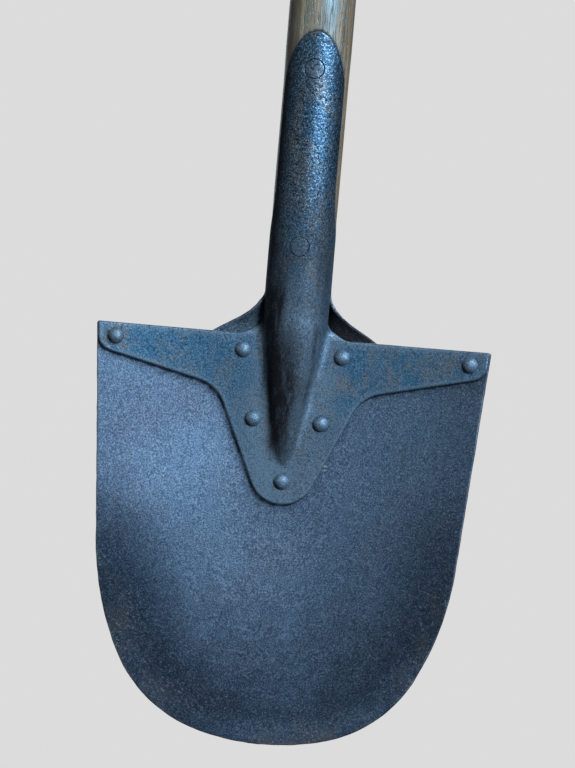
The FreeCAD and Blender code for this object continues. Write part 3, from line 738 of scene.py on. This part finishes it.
def blade_outline():
    """Blade's edge: wide tip arc, two corner arcs a side, tapering sides, square shoulders."""
    tip, corner, side = 97.7, 56.2, 121.8
    chord_x = 25.8
    side_start = 77.4
    shoulder = np.array([80.4, BLADE_TOP])
    tip_end = np.array([chord_x, tip - sqrt(tip ** 2 - chord_x ** 2)])
    corner_centre = tip_end + (np.array([0.0, tip]) - tip_end) * corner / tip
    # the side arc runs on into the straight; its taper closes the outline
    fits = []
    for taper in np.radians(np.linspace(3.0, 6.0, 601)):
        end = np.array([shoulder[0] - (shoulder[1] - side_start) * tan(taper), side_start])
        centre = end + np.array([-cos(taper), sin(taper)]) * side
        fits.append((abs(np.hypot(*(corner_centre - centre)) - (side - corner)), end, centre))
    _, side_end, side_centre = min(fits, key=lambda fit: fit[0])
    inward = (corner_centre - side_centre) / np.hypot(*(corner_centre - side_centre))
    corner_end = corner_centre + inward * corner
    return mirrored(trace(
        (0.0, 0.0), (tip_end, tip, 1, 1.0), (corner_end, corner, 1, 1.0), (side_end, side, 1, 1.0),
        ((80.3, BLADE_TOP - 1.0), 1.1), ((79.4, BLADE_TOP), 1.0, 1, 0.3), ((12.0, BLADE_TOP), 1.1),
        ((11.2, BLADE_TOP - 0.8), 0.8, 1, 0.3), ((2.7, 118.4), 1.6), ((1.3, 117.0), 1.4, -1, 0.4),
        ((0.0, 117.0), 0.7)))


def worn_edge(outline, seed):
    """The loop with the waver and small nicks of a used edge, none at the top or in the notch."""
    x, z = np.abs(outline[:, 0]), outline[:, 1]
    waver = 0.22 * waves(outline, 9.0, seed)
    nicks = 0.10 * waves(outline, 2.6, seed + 1)
    low = ramp(BLADE_TOP - 2.0, BLADE_TOP - 12.0, z)
    free = (x > TINY) & ~((x < 12.5) & (z > 100.0))
    return outline - loop_normals(outline) * (np.abs(waver + nicks) * low * free)[:, None]


def blade_half(pattern, depth):
    """Half thickness: full under the straps, thinned towards the worn cutting edge."""
    low = 1.0 - ramp(60.0, 150.0, pattern[:, 1])
    thinning = 0.30 * np.exp(-depth / 3.5)
    return SHEET / 2 * (1.0 - thinning * low)


strap_outline = mirrored(strap_plate_line(1.4) + line((79.0, BLADE_TOP), (0.0, BLADE_TOP), 1.4))


def blade_finish(pattern, depth):
    """Tone of the blade: painted shade towards the right, painted highlights in the hollow and the middle,
    dark towards its lower rim, scuffed at the edge.
    """
    x, z = pattern.T
    low = ramp(118.0, 72.0, z)
    # painted shade: the right side lies away from the light
    painted_shade_right = 0.50 * ramp(-30.0, 60.0, x) + 0.22 * ramp(38.0, 72.0, x)
    lower_part = 0.52 * ramp(105.0, 25.0, z)
    rim = 0.62 * ramp(34.0, 5.0, depth) * low + 0.16 * ramp(22.0, 3.0, depth)
    lower_left = 0.88 * ramp(42.0, 12.0, depth) * ramp(98.0, 58.0, z) * ramp(10.0, -40.0, x)
    shade = painted_shade_right + lower_part + rim + lower_left
    # painted highlights: the hollow and the middle stand in for reflections of the light
    hollow_highlight = 0.42 * spot(x, z, (-38.0, 111.0), (34.0, 23.0))
    middle = 0.40 * spot(x, z, (-8.0, 62.0), (26.0, 24.0))
    scuffs = 0.88 * ramp(14.0, 3.0, depth) * ramp(60.0, 25.0, z)
    tone = np.exp(-0.56 - shade + hollow_highlight + middle + scuffs)
    # painted shadow, with some grime, beside the strap's edges
    gap = np.where(inside(pattern, strap_outline)[:, None], FAR, gap_to_loop(pattern, strap_outline))
    tone *= 1.0 - 0.96 * shadow_and_grime(gap, 2.0)
    return {"tone": np.clip(tone, 0.0, 1.0), "soil": ramp(90.0, 40.0, z)}


mesh = sheet_solid(worn_edge(blade_outline(), 3), lambda pattern: with_normals(blade_place, pattern), 2.0,
                   blade_finish, half=blade_half)
add_piece("blade", mesh, blade_steel)


# ---- straps

front = StrapShape(-1, 4.3, (166.5, 173.0))
back = StrapShape(1, 9.0, (168.0, 187.0))
front_root = [(22.5, BLADE_TOP), (20.3, 166.6), (18.2, 167.6), (16.3, 168.6), (14.8, 169.9), (13.8, 171.6)]
back_root = [(34.0, BLADE_TOP), (30.5, 168.3), (27.0, 170.3), (22.7, 172.7), (18.8, 175.4), (15.9, 178.2)]
blade_rivets = {
    "left_shoulder_rivet": (-72.5, 160.4), "right_shoulder_rivet": (72.5, 160.4),
    "left_upper_rivet": (-20.3, 159.2), "right_upper_rivet": (20.3, 159.2),
    "left_lower_rivet": (-13.9, 131.5), "right_lower_rivet": (13.9, 131.5),
    "tongue_rivet": (0.0, 106.8),
}
rivets_on_pattern = [(copysign(front.across(abs(x), z), x), z) for x, z in blade_rivets.values()]
angles = 2 * pi * np.arange(36) / 36            # holes run anticlockwise like the outline
hole = (SOCKET_RIVET_RADIUS + 0.03) * np.column_stack([np.cos(angles), np.sin(angles)])
holes = [hole + (0.0, height) for height in SOCKET_RIVET_HEIGHTS]
front_pattern = strap_pattern(front, front_root, 1.0)
back_pattern = strap_pattern(back, back_root, 30.0)


def forged(shape, seed):
    """surface() for a strap, with its own faint hammer marks on the tube."""
    def surface(pattern):
        middle, normal = with_normals(shape.place, pattern)
        marks = 0.10 * waves(pattern, 11.0, seed)
        free = ramp(BLADE_TOP - 20.0, BLADE_TOP + 10.0, pattern[:, 1])
        return middle + normal * (marks * free)[:, None], normal
    return surface


def swell_soot_and_shade(s, z):
    """Soot and painted shade over the socket's swell between the plates, thinner on its right side, which
    faces the light.
    """
    spread = 4.8 + 4.7 * ramp(118.0, 160.0, z)
    swell = ramp(spread + 5.0, spread - 1.0, s) * ramp(-spread - 8.0, -spread - 0.5, s)
    swell *= ramp(106.0, 123.0, z) * ramp(192.0, 160.0, z)
    foot = 0.12 * ramp(138.0, 120.0, z)
    crown = 0.10 * ramp(-5.0, -1.0, s) * ramp(143.0, 156.0, z)
    right = (0.30 + 0.05 * ramp(148.0, 165.0, z)) * ramp(0.0, 5.5, s)
    return swell * (1.0 - foot - crown - right)


def socket_soot_and_shade(s, z):
    """Soot on the lower socket, and painted shade heaviest on its left side, away from the light."""
    lower = 0.70 * ramp(245.0, 198.0, z) * ramp(162.0, 180.0, z)
    left_rim = 0.86 * ramp(-4.0, -12.5, s) * ramp(168.0, 180.0, z)
    left = 0.96 - 0.16 * ramp(178.0, 190.0, z)
    left *= ramp(155.0, 166.0, z) * ramp(225.0, 200.0, z) * ramp(4.0, -6.0, s)
    left *= np.maximum(ramp(-18.0, -12.0, s), ramp(165.5, 171.0, z))
    return np.maximum.reduce([lower, left_rim, left])


def corner_shade(s, z, depth):
    """Painted shade in the corners beside the swell and at the roots, the swell's painted shadow on the
    tongue, and darkening along the plate's upper edge.
    """
    size = np.abs(s)
    groove = 7.4 + 2.6 * ramp(141.0, 156.0, z)      # where the swell's right flank turns in
    flank = 0.84 * np.exp(-((s - groove) / 2.3) ** 2)
    flank *= ramp(126.0, 142.0, z) * ramp(180.0, 168.0, z)
    fillet = np.exp(-((size - 13.2) / 2.6) ** 2) * ramp(128.0, 145.0, z) * ramp(178.0, 170.0, z)
    fillet *= np.where(s > 0.0, 0.50 + 0.16 * ramp(150.0, 164.0, z), 0.62)
    tongue = 0.42 * ramp(-1.0, 6.0, s) * ramp(146.0, 128.0, z)
    brim = 0.65 * ramp(1.0, 0.1, depth) * ramp(163.0, 165.5, z) * ramp(14.0, 20.0, size)
    root = 0.80 * spot(size, z, (16.0, 169.0), (5.0, 4.0))
    return np.maximum.reduce([flank, fillet, tongue, brim, root])


def rivet_shadow(pattern):
    """Painted shadow, with a little grime, on the strap beside each rivet head, on the side away from the
    light.
    """
    grime = np.zeros(len(pattern))
    for place in rivets_on_pattern:
        gap = pattern - place
        away = np.hypot(*gap.T)
        gap = gap * (np.maximum(away - RIVET_RADIUS, 0.0) / np.maximum(away, TINY))[:, None]
        grime = np.maximum(grime, 0.75 * shadow_and_grime(gap + SHADOW_SIDE * 1e-4, 0.9))
    return grime


def strap_finish(pattern, depth):
    """Coarse skin high on the socket, soot and painted shade over the swell, the socket's left side and the
    corners, painted shadows by the rivets, blue kept on the wings.
    """
    s, z = pattern.T
    layers = [swell_soot_and_shade(s, z), socket_soot_and_shade(s, z), corner_shade(s, z, depth), rivet_shadow(pattern)]
    below_socket = ramp(200.0, 172.0, z)
    middle = np.exp(-(np.maximum(np.abs(s) - 9.0, 0.0) / 11.0) ** 2) * below_socket
    tongue_left = ramp(3.0, -5.0, s) * ramp(150.0, 130.0, z)
    blue = 1.0 - (0.70 + 0.22 * tongue_left) * middle
    blue *= 1.0 - 0.50 * ramp(3.5, 0.5, depth) * below_socket
    coarse = 0.42 + 0.83 * ramp(190.0, 225.0, z)
    return {"soot": np.maximum.reduce(layers), "coarse": coarse, "blue": blue}


def back_finish(pattern, depth):
    """The back strap gets painted shade only where its roots face forward beside the socket, heavier on the
    right.
    """
    s, z = pattern.T
    _, normal = with_normals(back.place, pattern)
    forward = np.concatenate([-normal[:, 1], normal[:, 1]])
    root = ramp(164.0, 167.0, z) * ramp(200.0, 184.0, z)
    level = np.tile(root * np.where(s > 0.0, 1.20, 0.50), 2)
    return {"soot": level * ramp(-0.25, 0.15, forward), "coarse": np.full(len(s), 0.8),
            "blue": 0.8 * ramp(180.0, 165.0, z)}


for label, shape, pattern, seed, finish in (("front_strap", front, front_pattern, 5, strap_finish),
                                            ("back_strap", back, back_pattern, 6, back_finish)):
    mesh = sheet_solid(pattern, forged(shape, seed), 1.3, finish, holes=holes, edge=0.68)
    add_piece(label, mesh, strap_steel)


def even_finish(count, coarse, soot, blue):
    """Wear of a part whose skin is the same all over."""
    return {"soot": np.full(count, soot), "coarse": np.full(count, coarse), "blue": np.full(count, blue)}


def turned_finish(points, coarse=0.1, soot=0.2):
    """The same for a turned part, which has no sheet edge near."""
    return {"rim": np.full(len(points), FAR), **even_finish(len(points), coarse, soot, 0.7)}


# ---- blade rivets

TURNED = 40                 # sides of a turned metal part


def dome_profile(radius, crown, base):
    """(along, radius) points of a domed head from its crown to its rim, which sits at base."""
    ball = (radius ** 2 + crown ** 2) / (2 * crown)
    widest = asin(radius / ball)
    points = [(base + crown - ball * (1 - cos(angle)), ball * sin(angle))
              for angle in np.linspace(0.0, widest, 12)]
    return points + [(base - 0.12, radius + 0.02)]


def both_ends(half):
    """Turned profile from its upper half."""
    return half + [(-along, radius) for along, radius in reversed(half)]


def domed_rivet(half_grip, radius, crown, seed, beating):
    """Points and faces of a rivet along Y whose heads are struck slightly out of round."""
    sunk = half_grip - 0.3
    half = dome_profile(radius, crown, half_grip) + [(sunk, radius - 0.2), (sunk, RIVET_SHANK)]
    points, faces = lathe(both_ends(half), TURNED, "Y")
    points[:, 1] *= -1.0
    points += waves(points, 3.0, seed)[:, None] * np.sign(points + 1e-9) * beating
    return points, faces


def blade_rivet_mesh(x, z, seed):
    """Rivet square to the blade at x, z, with painted shade on its lower-left side, away from the light."""
    points, faces = domed_rivet(1.5 * SHEET, RIVET_RADIUS, RIVET_CROWN, seed, (0.042, 0.07, 0.042))
    shaded_side = ramp(0.15, 0.95, (points[:, [0, 2]] / RIVET_RADIUS) @ SHADOW_SIDE)
    slope = atan(dish(x + 0.5, z) - dish(x - 0.5, z))
    points = points @ np.array(Matrix.Rotation(slope, 3, "Z")).T
    points += blade_place(np.array([x]), np.array([z]))
    attributes = turned_finish(points)
    # painted shade on the head's lower-left side
    attributes["soot"] = 0.12 + 0.78 * shaded_side
    return finish_mesh(points, faces, attributes)


for number, (label, place) in enumerate(blade_rivets.items()):
    add_piece(label, blade_rivet_mesh(*place, 20 + number), rivet_steel)


# ---- socket rivets

def flush_rivet_mesh(height, coarse, soot, seed):
    """Rivet through the socket, heads dressed to its round face with a soft rim."""
    radius = SOCKET_RIVET_RADIUS - 0.03
    face = SHAFT_RADIUS + 0.05
    under = SHAFT_RADIUS - 2.4
    half = [(face, 0.0)] + [(face, radius * share) for share in np.linspace(0.12, 0.84, 7)]
    half += [(face - 0.02, radius * 0.92), (face - 0.1, radius * 0.975), (SHAFT_RADIUS - 0.3, radius)]
    half += [(under, radius), (under, 2.5)]
    points, faces = lathe(both_ends(half), TURNED, "Y")
    drop = SHAFT_RADIUS - np.sqrt(SHAFT_RADIUS ** 2 - np.clip(np.abs(points[:, 0]), 0.0, radius) ** 2)
    outer = np.abs(points[:, 1]) > SHAFT_RADIUS - 1.0
    points[:, 1] -= np.sign(points[:, 1]) * drop * outer
    points[:, 1] += 0.05 * waves(points, 3.0, seed) * outer
    points[:, 2] += height
    return finish_mesh(points, faces, turned_finish(points, coarse, soot))


socket_rivets = (("upper_socket_rivet", SOCKET_RIVET_HEIGHTS[0], 1.2, 0.05),
                 ("lower_socket_rivet", SOCKET_RIVET_HEIGHTS[1], 0.6, 0.66))
for number, (label, height, coarse, soot) in enumerate(socket_rivets):
    add_piece(label, flush_rivet_mesh(height, coarse, soot, 40 + number), strap_steel)


# ---- wooden shaft

upper_edge = [tuple(p) for p in front_pattern if p[1] > 180.0]
socket_edge = np.array([(-60.0, 176.0), (60.0, 176.0)] + [p for p in upper_edge if p[0] > 0]
                       + [(0.0, STRAP_TOP)] + [p for p in upper_edge if p[0] < 0])


def socket_gap(points):
    """Distance over the wood from the socket straps' edges, negative under the metal."""
    x, y, z = points.T
    pattern = np.column_stack([TUBE_MIDDLE * np.arctan2(np.abs(x), np.abs(y)), z])
    away = distance_to_loop(pattern, socket_edge)
    return np.where(inside(pattern, socket_edge), -away, away)


FOOT = [(121.0, 0.0), (121.0, 2.6), (143.0, 7.2)] + [(z, FOOT_RADIUS) for z in (168.5, 186.0, 202.0)]
TENON = [(545.5, 7.0), (565.5, 7.0), (566.0, 6.5), (566.0, 0.0)]
BARE_FROM = 206.0           # height where the wood comes out between the straps
STRIP_HALF_WIDTH = 7.0
SADDLE_RADIUS = 15.8        # hollow of the shaft's end round the crossbar


def whittled(points):
    """The turned shaft with its seat under the straps and flats under the strip."""
    x, y, z = points.T
    free = np.hypot(x, y) > SHAFT_RADIUS - 0.1
    gap = socket_gap(points)
    ring = SHAFT_RADIUS - 0.35 * (1 - ramp(0.0, 10.0, gap)) - 1.25 * (1 - ramp(-0.7, -0.15, gap))
    ring = ring - (SHAFT_RADIUS - FOOT_RADIUS) * (1 - ramp(203.5, BARE_FROM, z)) * (z < BARE_FROM)
    ring = np.clip(ring, FOOT_RADIUS, None)
    ring += 0.07 * waves(np.column_stack([x, y, z * 0.3]), 9.0, 50) - 0.07
    scale = np.where(free, ring / np.maximum(np.hypot(x, y), TINY), 1.0)
    x, y = x * scale, y * scale

    edge = STRIP_HALF_WIDTH + 0.6
    on_flat = (np.abs(x) < edge) & (z > STRIP_FOOT - 0.5) & free
    level = 11.45 + 3.0 * np.clip((z - STRIP_KNEE - 3.0) / 25.0, 0.0, 1.0)
    cut = ramp(edge, STRIP_HALF_WIDTH + 0.05, np.abs(x)) * ramp(STRIP_FOOT - 0.5, STRIP_FOOT + 0.4, z)
    lowered = np.minimum(np.abs(y), level + (1 - cut) * 4.0)
    y = np.where(on_flat, np.sign(y) * lowered, y)

    saddle = GRIP_HEIGHT - np.sqrt(np.maximum(SADDLE_RADIUS ** 2 - y ** 2, 0.0))
    crown = z > 536.0
    z = np.where(crown & free, np.minimum(z, saddle), z)
    z = np.where(crown & ~free & (z < 546.0), saddle, z)
    return np.column_stack([x, y, z])


def shaft_mesh():
    heights = list(np.arange(203.0, 294.0, 0.9)) + list(np.arange(295.0, 480.0, 3.0))
    heights += list(np.arange(480.0, 540.0, 0.9)) + [541.0, 545.0]
    points, faces = lathe(FOOT + [(height, SHAFT_RADIUS) for height in heights] + TENON, 168, "Z", whittled)
    x, y, z = np.abs(points).T
    # grime with painted shade on the wood along the socket straps' edges and beside the grip strip
    beside_socket = np.exp(-np.maximum(socket_gap(points), 0.0) / 0.55) * (z < 300.0) * (z > 203.0)
    away = np.hypot(np.maximum(x - STRIP_HALF_WIDTH, 0.0), np.maximum(STRIP_FOOT - z, 0.0))
    beside_strip = 0.8 * np.exp(-away / 0.6) * (y > 9.0)
    grime = np.clip(np.maximum(beside_socket, beside_strip), 0.0, 1.0)
    return finish_mesh(points, faces, {"grime": grime})


add_piece("shaft", shaft_mesh(), shaft_wood)


# ---- crossbar grip

GROOVE_RADIUS = 14.45       # the bar's waist under the strip
ARM_FROM = 14.0
ARM_TO = 49.0
ARM_TAPER = 3.5
END_ROUND = 7.0
END_FLAT = 5.5


def grip_bar_mesh():
    """Turned crossbar: groove for the strip, barrel-shaped arms, rounded ends."""
    stations = [(x, GROOVE_RADIUS) for x in (0.0, 1.5, 3.0, 4.5, 6.0, 6.9)]
    stations += [(7.05, GROOVE_RADIUS + 0.15), (7.1, GRIP_RADIUS - 0.4), (7.4, GRIP_RADIUS - 0.05)]
    stations += [(x, GRIP_RADIUS) for x in np.linspace(8.5, ARM_FROM, 6)]
    barrel = ((ARM_TO - ARM_FROM) ** 2 + ARM_TAPER ** 2) / (2 * ARM_TAPER)
    for x in np.linspace(ARM_FROM + 1.5, ARM_TO, 24):
        stations.append((x, GRIP_RADIUS - barrel + sqrt(barrel ** 2 - (x - ARM_FROM) ** 2)))
    for angle in np.radians(np.linspace(8.0, 90.0, 12)):
        stations.append((ARM_TO + END_ROUND * sin(angle), END_FLAT + END_ROUND * cos(angle)))
    stations += [(ARM_TO + END_ROUND, END_FLAT * share) for share in (0.75, 0.5, 0.25, 0.0)]

    def hand_worn(points):
        away = np.hypot(*points[:, :2].T)
        wobble = 0.10 * waves(points * (1.0, 1.0, 0.5), 14.0, 60) - 0.10
        scale = 1.0 + np.where(away > 3.0, wobble / np.maximum(away, 1.0), 0.0)
        return points * np.column_stack([scale, scale, np.ones(len(scale))])

    profile = [(-x, radius) for x, radius in reversed(stations)] + stations[1:]
    points, faces = lathe(profile, 120, "X", hand_worn)
    points[:, 2] += GRIP_HEIGHT
    return finish_mesh(points, faces)


add_piece("grip_bar", grip_bar_mesh(), grip_wood)


def strip_line():
    """Run and (y, z) of the strip's middle, from the front foot over the bar to the back foot."""
    leg = 12.25
    over = 15.25
    ease = 0.06                 # angle between a leg's end and the bend over the bar
    path = [(-leg, z) for z in np.arange(STRIP_FOOT, STRIP_KNEE, 2.0)]
    for t in np.linspace(0.0, 1.0, 16):
        spread = (over - leg) * ramp(0.0, 1.0, t)
        path.append((-leg - spread, STRIP_KNEE + (GRIP_HEIGHT - STRIP_KNEE) * t))
    back_leg = [(-y, z) for y, z in reversed(path)]
    for angle in np.linspace(ease, pi - ease, 60):
        path.append((-over * cos(angle), GRIP_HEIGHT + over * sin(angle)))
    path = np.array(path + back_leg)
    runs = np.hypot(*(path[1:] - path[:-1]).T)
    return np.concatenate([[0.0], np.cumsum(runs)]), path


STRIP_RUN, STRIP_PATH = strip_line()


def strip_place(u, v):
    return np.column_stack([u] + [np.interp(v, STRIP_RUN, part) for part in STRIP_PATH.T])


def strip_pattern():
    length = STRIP_RUN[-1]
    corner = 6.0
    side = STRIP_HALF_WIDTH
    return mirrored(trace(
        (0.0, 0.0), ((side - corner, 0.0), 1.0), ((side, corner), corner, 1, 0.6),
        ((side, length - corner), 1.0), ((side - corner, length), corner, 1, 0.6), ((0.0, length), 1.0)))


mesh = sheet_solid(strip_pattern(), lambda pattern: with_normals(strip_place, pattern, 0.4), 1.3,
                   lambda pattern, depth: even_finish(len(pattern), 0.8, 0.1, 0.5), edge=0.35)
add_piece("grip_strap", mesh, strap_steel)


for number, (label, height) in enumerate((("upper_grip_rivet", 518.0), ("lower_grip_rivet", 494.0))):
    points, faces = domed_rivet(13.0, 3.5, 1.45, 70 + number, (0.03, 0.0, 0.03))
    points[:, 2] += height
    add_piece(label, finish_mesh(points, faces, turned_finish(points)), rivet_steel)

# the pin's ends are filed flush with a soft rim
points, faces = lathe(both_ends([(15.98, 0.0), (15.98, 1.2), (15.9, 1.75), (15.7, 2.0)]), 32, "Y")
points[:, 2] += GRIP_HEIGHT
add_piece("bar_pin", finish_mesh(points, faces, turned_finish(points)), rivet_steel)

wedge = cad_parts["grip_wedge"]
wedge.data.materials.clear()
wedge.data.materials.append(wedge_wood)


# ---- stage, light and camera

PALE = (0.7157, 0.7157, 0.7157, 1.0)

# plain pale floor that gives the tool no shadow or tint
half = 1.5
mesh = bpy.data.meshes.new("floor")
corners = [(x * half, y * half, 0.0) for x, y in ((-1, -1), (1, -1), (1, 1), (-1, 1))]
mesh.from_pydata(corners, [], [(0, 1, 2, 3)])
material = bpy.data.materials.new("floor_pale")
tree = empty_tree(material)
output = tree.nodes.new("ShaderNodeOutputMaterial")
glow = tree.nodes.new("ShaderNodeEmission")
glow.inputs["Color"].default_value = PALE
tree.links.new(glow.outputs["Emission"], output.inputs["Surface"])
mesh.materials.append(material)
floor = show("floor", mesh)
floor.location.z = -0.0005      # just under the blade's tip
floor.visible_diffuse = False
floor.visible_glossy = False
floor.visible_shadow = False

# pale backdrop for the camera, dim bluish light for everything else
world = bpy.data.worlds.new("studio")
bpy.context.scene.world = world
tree = empty_tree(world)
add, link = tree.nodes.new, tree.links.new
seen = add("ShaderNodeBackground")
seen.inputs["Color"].default_value = PALE
around = add("ShaderNodeBackground")
around.inputs["Color"].default_value = (0.30, 0.37, 0.46, 1.0)
around.inputs["Strength"].default_value = 0.20
mix = add("ShaderNodeMixShader")
link(add("ShaderNodeLightPath").outputs["Is Camera Ray"], mix.inputs[0])
link(around.outputs[0], mix.inputs[1])
link(seen.outputs[0], mix.inputs[2])
link(mix.outputs[0], add("ShaderNodeOutputWorld").inputs["Surface"])


def area_light(name, position, size, power, colour, target=(0.0, 0.0, 0.15)):
    data = bpy.data.lights.new(name, "AREA")
    data.shape = "RECTANGLE"
    data.size, data.size_y = size
    data.energy = power
    data.color = colour
    light = show(name, data)
    light.location = position
    light.rotation_mode = "QUATERNION"
    light.rotation_quaternion = (Vector(target) - Vector(position)).to_track_quat("-Z", "Y")
    light.visible_camera = False


COOL = (0.84, 0.93, 1.0)
WARM = (1.0, 0.90, 0.76)
PALE_BLUE = (0.88, 0.94, 1.0)

area_light("key", (0.64, -0.95, 0.81), (0.36, 0.40), 34.0, COOL)
area_light("soft_right", (1.3, -0.9, 0.2), (0.8, 1.2), 4.0, COOL)
area_light("soft_left", (-0.95, -1.0, 0.45), (1.0, 1.0), 4.0, WARM)
area_light("back_soft", (-0.4, 1.6, 0.3), (1.0, 1.0), 5.0, COOL)
area_light("back_fill", (0.2, 1.2, 1.5), (1.2, 1.2), 30.0, PALE_BLUE, (0.0, 0.0, 0.3))


def make_camera():
    """Square to the blade's front, rolled so that the tool's top leans to the right."""
    distance = 0.9
    framed_height = 0.3134
    centre = Vector((-0.0011, 0.0, 0.1467))
    turn_right = radians(4.7)
    roll = radians(4.9)
    data = bpy.data.cameras.new("camera")
    data.sensor_width = 36.0
    data.lens = data.sensor_width * distance / framed_height
    camera = show("camera", data)
    backward = Vector((sin(turn_right), -cos(turn_right), 0.0))
    level = Vector((cos(turn_right), sin(turn_right), 0.0))
    right = level * cos(roll) + Vector((0.0, 0.0, 1.0)) * sin(roll)
    up = backward.cross(right)
    turn = Matrix((right, up, backward)).transposed()
    camera.matrix_world = Matrix.Translation(centre + backward * distance) @ turn.to_4x4()
    bpy.context.scene.camera = camera


make_camera()
bpy.context.scene.view_settings.view_transform = "Standard"
